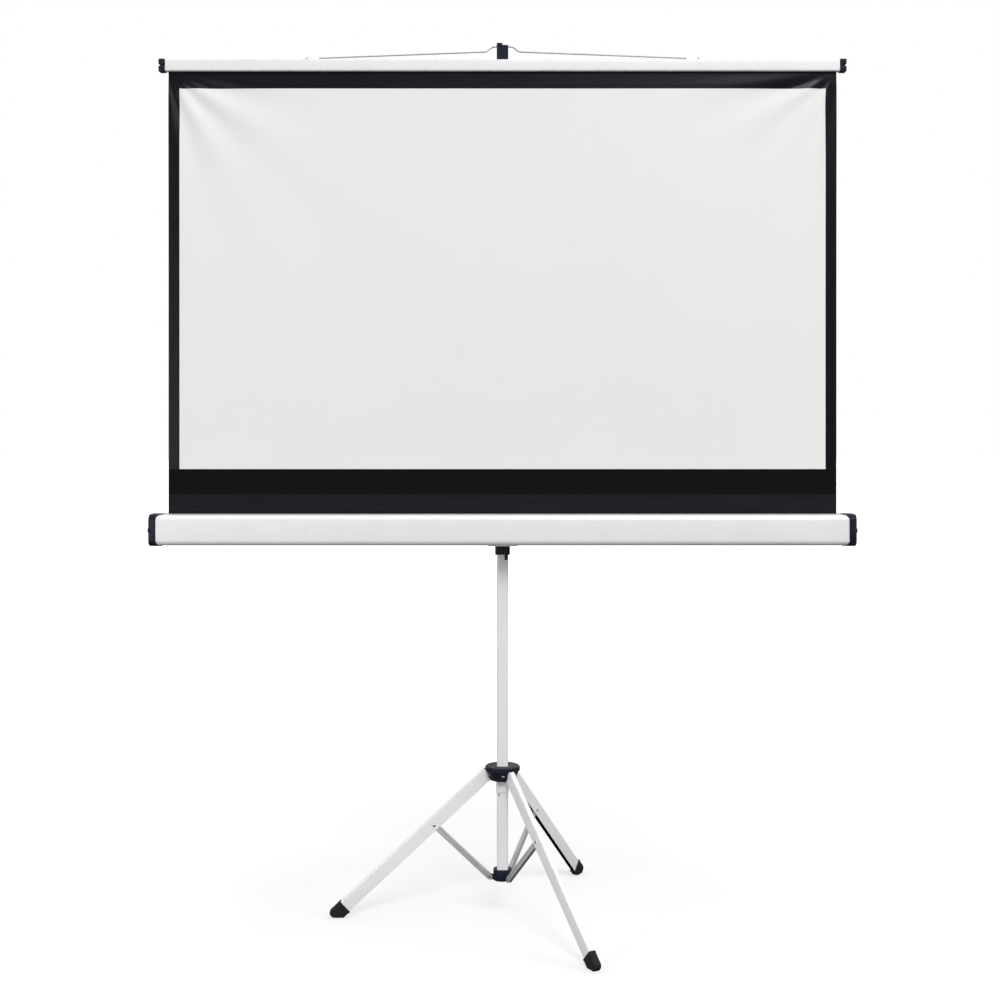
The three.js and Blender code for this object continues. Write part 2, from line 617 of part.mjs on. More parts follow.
piece("bail_handle", bailGeometry(), BRIGHT_STEEL);
piece("bail_clip_left", mirroredX(clipGeometry()), WHITE_ENAMEL);
piece("bail_clip_right", clipGeometry(), WHITE_ENAMEL);

// The extension tube with its guide and the hook that holds the bail

function hookGeometry() {
  const body = alongX(outline(HOOK_OUTLINE), -HOOK.half, HOOK.half);
  const notchFront = HOOK_OUTLINE[4][0] - GAP;
  const past = HOOK.rightTop + PAST;
  const lowerLip = box(0, HOOK.half + 1, notchFront - PAST, notchFront, HOOK.rightTop, past);
  const socket = alongZ(
    roundedSquare(EXTENSION.side + 2 * GAP, EXTENSION.corner), HOOK.capBottom - 1, EXTENSION.top + GAP,
  );
  return cut(body, lowerLip, socket);
}

piece("extension_tube", squareTube(EXTENSION), WHITE_ENAMEL);
piece("extension_guide", guideGeometry(MID, EXTENSION.bottom), BLACK_PLASTIC);
piece("hook_head", hookGeometry(), BLACK_PLASTIC);

export default screen;
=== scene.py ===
import json
from math import atan2, cos, exp, hypot, pi, radians, sin

import bmesh
import bpy
from mathutils import Matrix, Vector
from mathutils.geometry import interpolate_bezier


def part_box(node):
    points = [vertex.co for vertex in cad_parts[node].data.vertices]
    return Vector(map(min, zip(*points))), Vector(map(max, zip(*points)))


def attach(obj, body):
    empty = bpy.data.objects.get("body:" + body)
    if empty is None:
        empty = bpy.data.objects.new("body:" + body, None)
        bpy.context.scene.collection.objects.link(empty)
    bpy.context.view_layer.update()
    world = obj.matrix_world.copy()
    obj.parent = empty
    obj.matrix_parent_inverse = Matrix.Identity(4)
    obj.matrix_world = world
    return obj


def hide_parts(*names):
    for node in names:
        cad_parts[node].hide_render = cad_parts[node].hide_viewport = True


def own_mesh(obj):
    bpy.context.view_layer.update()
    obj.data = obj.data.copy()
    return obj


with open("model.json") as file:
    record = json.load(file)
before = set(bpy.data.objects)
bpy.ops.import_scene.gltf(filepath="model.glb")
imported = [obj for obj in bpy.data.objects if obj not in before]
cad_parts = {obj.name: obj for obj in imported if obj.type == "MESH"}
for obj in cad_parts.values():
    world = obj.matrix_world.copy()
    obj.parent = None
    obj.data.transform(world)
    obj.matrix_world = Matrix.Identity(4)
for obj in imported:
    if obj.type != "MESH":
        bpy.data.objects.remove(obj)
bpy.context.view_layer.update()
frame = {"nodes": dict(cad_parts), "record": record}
joints = {joint["name"]: joint for joint in frame["record"]["behaviour"]["joints"]}


# Camera, floor and light
# A level camera in front of the screen, a white studio floor and a white room that is dark
# behind the camera. Three large soft lamps model the edges, the strongest high in front.

camera_data = bpy.data.cameras.new("camera")
camera_data.sensor_width = 36
camera_data.lens = 54
camera_data.shift_x = -0.0025
camera_data.shift_y = -0.084
camera_data.clip_end = 100
camera = bpy.data.objects.new("camera", camera_data)
camera.location = (0, -3.767, 1.258)
camera.rotation_euler = (radians(90), 0, 0)
bpy.context.collection.objects.link(camera)
bpy.context.scene.camera = camera
bpy.context.scene.view_settings.view_transform = "Standard"


def add_node(tree, kind, values=(), **settings):
    made = tree.nodes.new(kind)
    for name, setting in settings.items():
        setattr(made, name, setting)
    for socket, value in dict(values).items():
        if isinstance(value, bpy.types.NodeSocket):
            tree.links.new(value, made.inputs[socket])
        else:
            made.inputs[socket].default_value = value
    return made


def soft_lamp(name, place, target, size, power):
    lamp = bpy.data.lights.new(name, "AREA")
    lamp.shape = "DISK"
    lamp.size = size
    lamp.energy = power
    holder = bpy.data.objects.new(name, lamp)
    holder.location = place
    holder.rotation_euler = (Vector(target) - Vector(place)).to_track_quat("-Z", "Y").to_euler()
    bpy.context.collection.objects.link(holder)


soft_lamp("high_front_lamp", place=(1.5, -6.0, 6.2), target=(0, 0, 1.0), size=3.0, power=320)
soft_lamp("right_lamp", place=(4.2, -1.6, 2.2), target=(0, 0, 1.0), size=2.0, power=60)
soft_lamp("left_lamp", place=(-3.2, -4.2, 0.9), target=(0, 0, 0.6), size=1.6, power=85)

room = bpy.data.worlds.new("white_room")
room.use_nodes = True
room.node_tree.nodes["Background"].inputs["Color"].default_value = (1, 1, 1, 1)
way_out = add_node(room.node_tree, "ShaderNodeTexCoord").outputs["Generated"]
way_parts = add_node(room.node_tree, "ShaderNodeSeparateXYZ", {0: way_out})
dark_front = add_node(
    room.node_tree, "ShaderNodeMapRange",
    {"Value": way_parts.outputs["Y"], "From Min": -0.85, "From Max": -0.5, "To Min": 0.04, "To Max": 0.75},
)
room.node_tree.links.new(dark_front.outputs["Result"], room.node_tree.nodes["Background"].inputs["Strength"])
sight = add_node(room.node_tree, "ShaderNodeLightPath")
seen_white = add_node(room.node_tree, "ShaderNodeBackground", {"Color": (1, 1, 1, 1), "Strength": 1.0})
lit_white = room.node_tree.nodes["Background"]
room_mix = add_node(
    room.node_tree, "ShaderNodeMixShader",
    {0: sight.outputs["Is Camera Ray"], 1: lit_white.outputs[0], 2: seen_white.outputs[0]},
)
room.node_tree.links.new(room_mix.outputs[0], room.node_tree.nodes["World Output"].inputs["Surface"])
bpy.context.scene.world = room

FLOOR_GREY = (0.42, 0.42, 0.42, 1)
FLOOR_BOUNCE = (0.10, 0.10, 0.10, 1)
floor_paint = bpy.data.materials.new("floor_paint")
floor_paint.use_nodes = True
floor_tree = floor_paint.node_tree
floor_shader = floor_tree.nodes["Principled BSDF"]
floor_shader.inputs["Base Color"].default_value = FLOOR_GREY
floor_shader.inputs["Roughness"].default_value = 0.9
floor_shader.inputs["Specular IOR Level"].default_value = 0.1
floor_shader.inputs["Emission Color"].default_value = (1, 1, 1, 1)
floor_place = add_node(floor_tree, "ShaderNodeTexCoord").outputs["Object"]
floor_away = add_node(floor_tree, "ShaderNodeVectorMath", {0: floor_place}, operation="LENGTH")
floor_glow = add_node(
    floor_tree, "ShaderNodeMapRange",
    {"Value": floor_away.outputs["Value"], "From Min": 0.6, "From Max": 2.8, "To Min": 0.54, "To Max": 1.0},
)
floor_tree.links.new(floor_glow.outputs["Result"], floor_shader.inputs["Emission Strength"])
floor_bounce = add_node(floor_tree, "ShaderNodeBsdfDiffuse", {"Color": FLOOR_BOUNCE})
floor_sight = add_node(floor_tree, "ShaderNodeLightPath")
floor_mix = add_node(
    floor_tree, "ShaderNodeMixShader",
    {0: floor_sight.outputs["Is Camera Ray"], 1: floor_bounce.outputs[0], 2: floor_shader.outputs[0]},
)
floor_tree.links.new(floor_mix.outputs[0], floor_tree.nodes["Material Output"].inputs["Surface"])
floor_mesh = bmesh.new()
bmesh.ops.create_grid(floor_mesh, x_segments=4, y_segments=4, size=40)
floor_data = bpy.data.meshes.new("floor")
floor_mesh.to_mesh(floor_data)
floor_mesh.free()
floor_data.materials.append(floor_paint)
floor = bpy.data.objects.new("floor", floor_data)
bpy.context.collection.objects.link(floor)


# Outer post
# The fixed lower tube of the post: a square steel tube, drawn with round corners and
# stove-enamelled white, whose foot stands in the bottom collar.

POST_CORNER = 0.005
POST_WALL = 0.0016
COAT = 0.25

def new_group(name, inputs, outputs):
    group = bpy.data.node_groups.new(name, "ShaderNodeTree")
    for socket, kind in inputs.items():
        group.interface.new_socket(socket, in_out="INPUT", socket_type=kind)
    for socket, kind in outputs.items():
        group.interface.new_socket(socket, in_out="OUTPUT", socket_type=kind)
    return group, group.nodes.new("NodeGroupInput"), group.nodes.new("NodeGroupOutput")


def calc(tree, operation, first, second):
    return add_node(tree, "ShaderNodeMath", {0: first, 1: second}, operation=operation).outputs[0]


def blotch_group():
    """Slow clouds of tone, and a fine grain for bump, both on Object coordinates."""
    group, ins, outs = new_group(
        "blotch_and_grain",
        {"Vector": "NodeSocketVector", "Cloud Scale": "NodeSocketFloat", "Grain Scale": "NodeSocketFloat"},
        {"Tone": "NodeSocketFloat", "Grain": "NodeSocketFloat"},
    )
    place = ins.outputs["Vector"]
    cloud = add_node(
        group, "ShaderNodeTexNoise", {"Vector": place, "Scale": ins.outputs["Cloud Scale"], "Detail": 5.0}
    )
    spread = add_node(
        group, "ShaderNodeMapRange", {"Value": cloud.outputs["Fac"], "From Min": 0.3, "From Max": 0.7}
    )
    grain = add_node(
        group, "ShaderNodeTexNoise", {"Vector": place, "Scale": ins.outputs["Grain Scale"], "Detail": 3.0}
    )
    group.links.new(spread.outputs["Result"], outs.inputs["Tone"])
    group.links.new(grain.outputs["Fac"], outs.inputs["Grain"])
    return group


def edge_group():
    """Rubbed patches on the faces that carry the face attribute rub: worn small rounded edges, and the walls
    of the hook's dish, where the lighter patches are a painted highlight.
    """
    group, ins, outs = new_group(
        "edge_wear",
        {"Vector": "NodeSocketVector", "Patch Scale": "NodeSocketFloat", "Amount": "NodeSocketFloat"},
        {"Wear": "NodeSocketFloat"},
    )
    rub = add_node(group, "ShaderNodeAttribute", attribute_name="rub")
    patch = add_node(
        group, "ShaderNodeTexNoise",
        {"Vector": ins.outputs["Vector"], "Scale": ins.outputs["Patch Scale"], "Detail": 4.0},
    )
    broken = add_node(
        group, "ShaderNodeMapRange", {"Value": patch.outputs["Fac"], "From Min": 0.48, "From Max": 0.66}
    )
    both = calc(group, "MULTIPLY", rub.outputs["Fac"], broken.outputs["Result"])
    group.links.new(calc(group, "MULTIPLY", both, ins.outputs["Amount"]), outs.inputs["Wear"])
    return group


def dust_group():
    """Pale dust that lies thickest on what stands near the floor."""
    group, ins, outs = new_group(
        "floor_dust",
        {"Vector": "NodeSocketVector", "Height": "NodeSocketFloat", "Amount": "NodeSocketFloat"},
        {"Dust": "NodeSocketFloat"},
    )
    parts = add_node(group, "ShaderNodeSeparateXYZ", {0: ins.outputs["Vector"]})
    low = add_node(
        group, "ShaderNodeMapRange",
        {"Value": parts.outputs["Z"], "From Max": ins.outputs["Height"], "To Min": 1.0, "To Max": 0.0},
    )
    speck = add_node(
        group, "ShaderNodeTexNoise", {"Vector": ins.outputs["Vector"], "Scale": 90.0, "Detail": 6.0}
    )
    spotted = calc(group, "MULTIPLY", low.outputs[0], speck.outputs["Fac"])
    group.links.new(calc(group, "MULTIPLY", spotted, ins.outputs["Amount"]), outs.inputs["Dust"])
    return group


BLOTCH = blotch_group()
EDGE = edge_group()
DUST = dust_group()
DUST_COLOUR = (0.42, 0.40, 0.37, 1)
DUST_HEIGHT = 0.16
PATCHES_PER_CLOUD = 6


def hard_finish(
    name, colour, shade, worn, roughness, clouds, grain, depth, wear, dust=0.0, metallic=0.0, specular=0.5,
):
    """A painted, moulded or plated finish: clouds of shade, worn edges, fine grain and floor dust."""
    material = bpy.data.materials.new(name)
    material.use_nodes = True
    tree = material.node_tree
    shader = tree.nodes["Principled BSDF"]
    place = add_node(tree, "ShaderNodeTexCoord").outputs["Object"]
    blotch = add_node(tree, "ShaderNodeGroup", node_tree=BLOTCH)
    tree.links.new(place, blotch.inputs["Vector"])
    blotch.inputs["Cloud Scale"].default_value = clouds
    blotch.inputs["Grain Scale"].default_value = grain
    edge = add_node(tree, "ShaderNodeGroup", node_tree=EDGE)
    tree.links.new(place, edge.inputs["Vector"])
    edge.inputs["Patch Scale"].default_value = clouds * PATCHES_PER_CLOUD
    edge.inputs["Amount"].default_value = wear
    tone = blotch.outputs["Tone"]
    paint = add_node(tree, "ShaderNodeMix", {0: tone, 6: (*colour, 1), 7: (*shade, 1)}, data_type="RGBA")
    rubbed = add_node(
        tree, "ShaderNodeMix", {0: edge.outputs["Wear"], 6: paint.outputs[2], 7: (*worn, 1)}, data_type="RGBA"
    )
    top = rubbed.outputs[2]
    if dust:
        dirt = add_node(tree, "ShaderNodeGroup", node_tree=DUST)
        tree.links.new(place, dirt.inputs["Vector"])
        dirt.inputs["Height"].default_value = DUST_HEIGHT
        dirt.inputs["Amount"].default_value = dust
        dusted = add_node(
            tree, "ShaderNodeMix", {0: dirt.outputs["Dust"], 6: top, 7: DUST_COLOUR}, data_type="RGBA"
        )
        top = dusted.outputs[2]
    tree.links.new(top, shader.inputs["Base Color"])
    sleek, dull = roughness
    sheen = add_node(tree, "ShaderNodeMapRange", {"Value": tone, "To Min": sleek, "To Max": dull})
    tree.links.new(sheen.outputs["Result"], shader.inputs["Roughness"])
    bump = add_node(
        tree, "ShaderNodeBump", {"Height": blotch.outputs["Grain"], "Strength": 0.6, "Distance": depth}
    )
    tree.links.new(bump.outputs["Normal"], shader.inputs["Normal"])
    shader.inputs["Metallic"].default_value = metallic
    shader.inputs["Specular IOR Level"].default_value = specular
    return material


white_enamel = hard_finish(
    "white_enamel", colour=(0.85, 0.855, 0.86), shade=(0.81, 0.815, 0.82), worn=(0.52, 0.52, 0.52),
    roughness=(0.26, 0.36), clouds=9.0, grain=420.0, depth=0.00006, wear=0.35,
)
white_enamel.node_tree.nodes["Principled BSDF"].inputs["Coat Weight"].default_value = COAT


def piece(name, shape, material, body, slot, *nodes, crease=32):
    """A finished mesh that rides on a body and stands for the CAD nodes named."""
    bmesh.ops.recalc_face_normals(shape, faces=shape.faces)
    for edge in shape.edges:
        edge.smooth = len(edge.link_faces) == 2 and edge.calc_face_angle() < radians(crease)
    for face in shape.faces:
        face.smooth = True
    mesh = bpy.data.meshes.new(name)
    shape.to_mesh(mesh)
    shape.free()
    mesh.materials.append(material)
    made = bpy.data.objects.new(name, mesh)
    bpy.context.collection.objects.link(made)
    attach(made, body)
    if nodes:
        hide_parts(*nodes)
    return made


RUB_RADIUS = 0.0045


def along(edge, axis):
    return abs((edge.verts[1].co - edge.verts[0].co).normalized()[axis]) > 0.99


def round_edges(shape, edges, radius, segments):
    """Rounds edges. The new faces of a small radius are marked as the ones that hands rub."""
    if "rub" not in shape.faces.layers.float:
        marks = [edge.index for edge in edges]
        shape.faces.layers.float.new("rub")
        shape.edges.ensure_lookup_table()
        edges = [shape.edges[mark] for mark in marks]
    made = bmesh.ops.bevel(
        shape, geom=edges, offset=radius, offset_type="OFFSET", affect="EDGES",
        segments=segments, profile=0.5, material=-1, clamp_overlap=True,
    )
    rub = shape.faces.layers.float["rub"]
    for face in made["faces"]:
        face[rub] = 1.0 if radius <= RUB_RADIUS else 0.0


def block(low, high):
    """A plain block between two corners, as a bmesh for further shaping."""
    shape = bmesh.new()
    bmesh.ops.create_cube(shape, size=1)
    bmesh.ops.scale(shape, vec=Vector(high) - Vector(low), verts=shape.verts)
    bmesh.ops.translate(shape, vec=(Vector(low) + Vector(high)) / 2, verts=shape.verts)
    return shape


def open_ends(shape, axis):
    shape.normal_update()
    ends = [face for face in shape.faces if abs(face.normal[axis]) > 0.99]
    bmesh.ops.delete(shape, geom=ends, context="FACES_ONLY")


def drawn_tube(node, corner, wall):
    """A square tube on the place of a node that stands along Z."""
    shape = block(*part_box(node))
    round_edges(shape, [edge for edge in shape.edges if along(edge, 2)], corner, 6)
    open_ends(shape, 2)
    bmesh.ops.solidify(shape, geom=shape.faces[:], thickness=wall)
    return shape


piece(
    "outer_post_tube", drawn_tube("outer_post", POST_CORNER, POST_WALL), white_enamel,
    "post", "white_enamel", "outer_post",
)


# Bottom collar and the hub's stop
# A black moulded cup closes the foot of the post and carries a lug for each strut. The
# hub comes to rest above a domed steel rivet in the front of the post.

black_plastic = hard_finish(
    "black_plastic", colour=(0.009, 0.011, 0.021), shade=(0.016, 0.018, 0.030), worn=(0.075, 0.08, 0.09),
    roughness=(0.34, 0.5), clouds=30.0, grain=900.0, depth=0.00012, wear=0.5, specular=0.13,
)


def softened(node, radius, segments=3, sharp=28):
    """A copy of a CAD node with its facets joined and its sharp edges rounded."""
    shape = bmesh.new()
    shape.from_mesh(frame["nodes"][node].data)
    bmesh.ops.remove_doubles(shape, verts=shape.verts, dist=1e-6)
    bmesh.ops.dissolve_limit(shape, angle_limit=radians(0.5), verts=shape.verts, edges=shape.edges)
    edges = [e for e in shape.edges if len(e.link_faces) == 2 and e.calc_face_angle() > radians(sharp)]
    round_edges(shape, edges, radius, segments)
    return shape


piece(
    "collar_moulding", softened("bottom_collar", radius=0.0008), black_plastic,
    "post", "black_plastic", "bottom_collar",
)

bright_steel = hard_finish(
    "bright_steel", colour=(0.62, 0.63, 0.65), shade=(0.48, 0.49, 0.51), worn=(0.75, 0.75, 0.76),
    roughness=(0.2, 0.36), clouds=60.0, grain=1500.0, depth=0.00002, wear=0.4, metallic=1.0,
)


def add_shape(shape, other):
    """Puts another shape into this one, as a separate shell of the same piece."""
    mesh = bpy.data.meshes.new("shell")
    other.to_mesh(mesh)
    other.free()
    shape.from_mesh(mesh)
    bpy.data.meshes.remove(mesh)


HEAD_PROFILE = [(0, 1), (0.45, 0.92), (0.78, 0.62), (0.95, 0.25), (1, 0), (1, -1), (0, -1)]


def domed_head(radius, height):
    """A low dome on Z, spun from its profile, with a short shank below."""
    shape = bmesh.new()
    profile = [shape.verts.new((out * radius, 0, rise * height)) for out, rise in HEAD_PROFILE]
    edges = [shape.edges.new(pair) for pair in zip(profile, profile[1:])]
    bmesh.ops.spin(
        shape, geom=profile + edges, cent=(0, 0, 0), axis=(0, 0, 1), angle=2 * pi, steps=20, use_merge=True,
    )
    bmesh.ops.remove_doubles(shape, verts=shape.verts, dist=1e-6)
    return shape


def rivet_heads(name, places, radius, height, body, *nodes):
    """Domed steel heads, each at a point and facing along a direction."""
    shape = bmesh.new()
    for point, direction in places:
        head = domed_head(radius, height)
        turn = Vector((0, 0, 1)).rotation_difference(Vector(direction)).to_matrix().to_4x4()
        bmesh.ops.transform(head, matrix=Matrix.Translation(point) @ turn, verts=head.verts)
        add_shape(shape, head)
    return piece(name, shape, bright_steel, body, "bright_steel", *nodes)


STOP_RADIUS = 0.003
STOP_HEIGHT = 0.0025
stop_low, stop_high = (Vector(corner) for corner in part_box("hub_stop_rivet"))
stop_centre = (stop_low + stop_high) / 2
stop_seat = (stop_centre.x, stop_high.y, stop_centre.z)
rivet_heads("stop_rivet_head", [(stop_seat, (0, -1, 0))], STOP_RADIUS, STOP_HEIGHT, "post", "hub_stop_rivet")


# Sliding hub, its sleeve and the leg pins
# A flared black moulding slides on the post above a short enamelled steel sleeve. Each
# leg turns on a steel pin through the hub's cheeks, headed over at both ends.

LEGS = ("left", "front", "back")
SLEEVE_CORNER = 0.006
SLEEVE_WALL = 0.0014
piece("hub_moulding", softened("hub", radius=0.0012), black_plastic, "hub", "black_plastic", "hub")
piece(
    "hub_sleeve_tube", drawn_tube("hub_sleeve", SLEEVE_CORNER, SLEEVE_WALL), white_enamel,
    "hub", "white_enamel", "hub_sleeve",
)
for side in LEGS:
    node = f"leg_pin_{side}"
    piece(f"leg_pin_rod_{side}", softened(node, radius=0.0006), bright_steel, "hub", "bright_steel", node)


# Legs
# Each leg is a channel folded from sheet steel, enamelled white outside. The faces inside its
# open side, which faces the post, are coloured near black as painted shade. Two rivet heads
# show where the strut is pinned to it.

LEG_OPEN = radians(47)
LEG_WIDTH = 0.013
LEG_MOUTH = -0.0121
LEG_BACK = 0.020
LEG_END = 0.505
LEG_TOP_REACH = 0.011
LEG_TOP_HEIGHT = 0.373
LEG_WALL = 0.0013
LEG_FOLD_RADIUS = 0.003
LEG_BLANK_TOP = -0.06
LEG_NOSE_SLOPE = (-0.64, 0, -0.77)
STRUT_AT = 0.190
LEG_RIVET_RADIUS = 0.0042
LEG_RIVET_HEIGHT = 0.0018

leg_enamel = hard_finish(
    "leg_enamel", colour=(0.92, 0.925, 0.93), shade=(0.87, 0.875, 0.88), worn=(0.46, 0.46, 0.46),
    roughness=(0.26, 0.38), clouds=11.0, grain=420.0, depth=0.00006, wear=0.3, dust=0.22,
)
leg_enamel.node_tree.nodes["Principled BSDF"].inputs["Coat Weight"].default_value = COAT


def leg_frame(side):
    """Local x runs down the open leg from its pivot, y across it and z towards its back."""
    pivot = Vector(joints[f"leg_fold_{side}"]["pos_m"])
    azimuth = atan2(pivot.y, pivot.x)
    down = Vector((sin(LEG_OPEN), 0, -cos(LEG_OPEN)))
    back = Vector((cos(LEG_OPEN), 0, sin(LEG_OPEN)))
    axes = Matrix((down, (0, 1, 0), back)).transposed().to_4x4()
    return Matrix.Translation(pivot) @ Matrix.Rotation(azimuth, 4, "Z") @ axes


def leg_channel(side):
    shape = block((LEG_BLANK_TOP, -LEG_WIDTH / 2, LEG_MOUTH), (LEG_END, LEG_WIDTH / 2, LEG_BACK))
    folds = [e for e in shape.edges if along(e, 0) and e.verts[0].co.z > 0]
    round_edges(shape, folds, LEG_FOLD_RADIUS, 5)
    open_ends(shape, 0)
    mouth = [f for f in shape.faces if all(v.co.z < LEG_MOUTH + 1e-6 for v in f.verts)]
    bmesh.ops.delete(shape, geom=mouth, context="FACES_ONLY")
    pivot_height = joints[f"leg_fold_{side}"]["pos_m"][2]
    upright = Vector((-cos(LEG_OPEN), 0, sin(LEG_OPEN)))
    trims = [
        (upright * (LEG_TOP_HEIGHT - pivot_height), upright),
        (Vector((-LEG_TOP_REACH, 0, 0)), Vector((-1, 0, 0))),
        (Vector((0, 0, LEG_MOUTH)), Vector(LEG_NOSE_SLOPE)),
    ]
    for point, normal in trims:
        bmesh.ops.bisect_plane(
            shape, geom=shape.verts[:] + shape.edges[:] + shape.faces[:], dist=1e-6,
            plane_co=point, plane_no=normal, clear_outer=True,
        )
    bmesh.ops.solidify(shape, geom=shape.faces[:], thickness=LEG_WALL)
    # Painted shade: faces deep inside the channel take the second, near-black material, standing in for the
    # shade in its open side.
    skin = 0.9 * LEG_WALL
    for face in shape.faces:
        in_painted_shade = all(
            abs(v.co.y) < LEG_WIDTH / 2 - skin and v.co.z < LEG_BACK - skin for v in face.verts
        )
        face.material_index = 1 if in_painted_shade else 0
    bmesh.ops.transform(shape, matrix=leg_frame(side), verts=shape.verts)
    return shape


# Near-black colour for the inside of the leg channels: painted shade.
channel_painted_shade = hard_finish(
    "channel_painted_shade", colour=(0.012, 0.012, 0.013), shade=(0.022, 0.022, 0.023), worn=(0.05, 0.05, 0.05),
    roughness=(0.5, 0.7), clouds=25.0, grain=600.0, depth=0.0001, wear=0.2, specular=0.2,
)
for side in LEGS:
    body = f"leg_{side}"
    leg = piece(f"leg_channel_{side}", leg_channel(side), leg_enamel, body, "white_enamel", body)
    leg.data.materials.append(channel_painted_shade)
    sitting = leg_frame(side)
    across = sitting.to_3x3() @ Vector((0, 1, 0))
    heads = [
        (sitting @ Vector((STRUT_AT, turn * LEG_WIDTH / 2, 0)), turn * across)
        for turn in (-1, 1)
    ]
    rivet_heads(f"leg_rivets_{side}", heads, LEG_RIVET_RADIUS, LEG_RIVET_HEIGHT, body)


# Feet
# A soft black rubber boot is pushed over the end of each leg and cut flat where it stands.
# A thicker band runs round its mouth.

boot_rubber = hard_finish(
    "boot_rubber", colour=(0.010, 0.010, 0.011), shade=(0.018, 0.018, 0.019), worn=(0.05, 0.05, 0.05),
    roughness=(0.62, 0.82), clouds=40.0, grain=700.0, depth=0.0003, wear=0.6, dust=0.05, specular=0.08,
)
BOOT_START = 0.493
BOOT_BAND = 0.0055
BOOT_PROUD = 0.0026
BOOT_LAP = 0.0004
BOOT_ROUND = 0.0016
for side in LEGS:
    boot = softened(f"foot_{side}", BOOT_ROUND, segments=4)
    band = block(
        (BOOT_START - BOOT_LAP, -LEG_WIDTH / 2 - BOOT_PROUD, LEG_MOUTH - BOOT_PROUD),
        (BOOT_START + BOOT_BAND, LEG_WIDTH / 2 + BOOT_PROUD, LEG_BACK + BOOT_PROUD),
    )
    round_edges(band, band.edges[:], BOOT_ROUND, 3)
    bmesh.ops.transform(band, matrix=leg_frame(side), verts=band.verts)
    add_shape(boot, band)
    piece(f"boot_{side}", boot, boot_rubber, f"leg_{side}", "black_rubber", f"foot_{side}")


# Struts
# Each strut is a narrow channel folded from zinc-plated steel, forked round a lug of the
# collar below and pinned inside the leg above.

zinc_steel = hard_finish(
    "zinc_steel", colour=(0.66, 0.67, 0.68), shade=(0.52, 0.53, 0.54), worn=(0.74, 0.74, 0.75),
    roughness=(0.36, 0.55), clouds=45.0, grain=700.0, depth=0.00005, wear=0.5, metallic=0.45,
)
for side in LEGS:
    strut = f"strut_{side}"
    channel = softened(strut, radius=0.0004, segments=2)
    piece(f"strut_channel_{side}", channel, zinc_steel, strut, "zinc_steel", strut)
    for end, body in (("lower", "post"), ("upper", strut)):
        node = f"strut_{end}_pin_{side}"
        piece(f"{node}_rod", softened(node, radius=0.0005), bright_steel, body, "bright_steel", node)


# Tube locks
# A black moulded collar closes the top of each outer tube, and a flip lever on its face
# squeezes it onto the tube that slides inside.

lock_plastic = hard_finish(
    "lock_plastic", colour=(0.020, 0.020, 0.020), shade=(0.032, 0.031, 0.029), worn=(0.11, 0.11, 0.105),
    roughness=(0.36, 0.52), clouds=30.0, grain=900.0, depth=0.00012, wear=0.5, specular=0.13,
)
LOCK_ROUND = 0.0009
LEVER_PIN_RADIUS = 0.0018
LEVER_PIN_HEIGHT = 0.0007
for lock, body in (("height", "post"), ("extension", "mid")):
    collar, lever, lever_body = f"{lock}_lock_collar", f"{lock}_lock_lever", f"{lock}_lever"
    piece(f"{collar}_moulding", softened(collar, LOCK_ROUND), lock_plastic, body, "black_plastic", collar)
    piece(f"{lever}_moulding", softened(lever, LOCK_ROUND), lock_plastic, lever_body, "black_plastic", lever)
    (lever_left, _, _), (lever_right, _, _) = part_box(lever)
    _, pivot_y, pivot_z = joints[f"{lever_body}_flip"]["pos_m"]
    pivots = [((x, pivot_y, pivot_z), (way, 0, 0)) for x, way in ((lever_left, -1), (lever_right, 1))]
    rivet_heads(f"{lever}_pivot", pivots, LEVER_PIN_RADIUS, LEVER_PIN_HEIGHT, lever_body)


# Middle tube and the case bracket
# The middle tube slides in the post and carries, just above the lock, the moulded bracket
# on which the roller case swivels.

MID_CORNER = 0.0035
MID_WALL = 0.0014
piece(
    "mid_tube_drawn", drawn_tube("mid_tube", MID_CORNER, MID_WALL), white_enamel,
    "mid", "white_enamel", "mid_tube",
)
piece(
    "bracket_moulding", softened("case_bracket", radius=0.0015), black_plastic,
    "mid", "black_plastic", "case_bracket",
)
frame["nodes"]["mid_guide"].material_slots[0].material = black_plastic


# Swivel and saddle
# A pressed and enamelled steel saddle holds the case from behind and below. It turns on a
# steel pin, with a plain washer between it and the bracket.

saddle = softened("case_saddle", radius=0.0008)
washer = softened("swivel_washer", radius=0.0005)
swivel = softened("swivel_pin", radius=0.0008)
piece("saddle_pressing", saddle, white_enamel, "case", "white_enamel", "case_saddle")
piece("washer_disc", washer, bright_steel, "mid", "bright_steel", "swivel_washer")
piece("swivel_rod", swivel, bright_steel, "case", "bright_steel", "swivel_pin")


# Roller case
# The shell is one rounded box rolled from thin steel and enamelled, with a slot along its
# top where the screen comes out between two strips of black pile.

SLOT_FRONT, SLOT_REAR = -0.068, -0.058
SHELL_CORNER = 0.014
SHELL_WALL = 0.0015
shell_low, shell_high = (Vector(corner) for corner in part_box("case_shell"))


def slotted_shell(low, high, corner, wall, slot_z, slot_front, slot_rear):
    """A hollow rounded section along X with an open slot in the face at slot_z."""
    shape = block(low, high)
    round_edges(shape, [edge for edge in shape.edges if along(edge, 0)], corner, 8)
    open_ends(shape, 0)
    for y in (slot_front, slot_rear):
        bmesh.ops.bisect_plane(
            shape, geom=shape.verts[:] + shape.edges[:] + shape.faces[:], dist=1e-6,
            plane_co=(0, y, 0), plane_no=(0, 1, 0),
        )
    strip = []
    for face in shape.faces:
        centre = face.calc_center_median()
        if slot_front < centre.y < slot_rear and abs(centre.z - slot_z) < 1e-4:
            strip.append(face)
    bmesh.ops.delete(shape, geom=strip, context="FACES_ONLY")
    bmesh.ops.solidify(shape, geom=shape.faces[:], thickness=wall)
    return shape


shell = slotted_shell(shell_low, shell_high, SHELL_CORNER, SHELL_WALL, shell_high.z, SLOT_FRONT, SLOT_REAR)
piece("case_shell_rolled", shell, white_enamel, "case", "white_enamel", "case_shell")

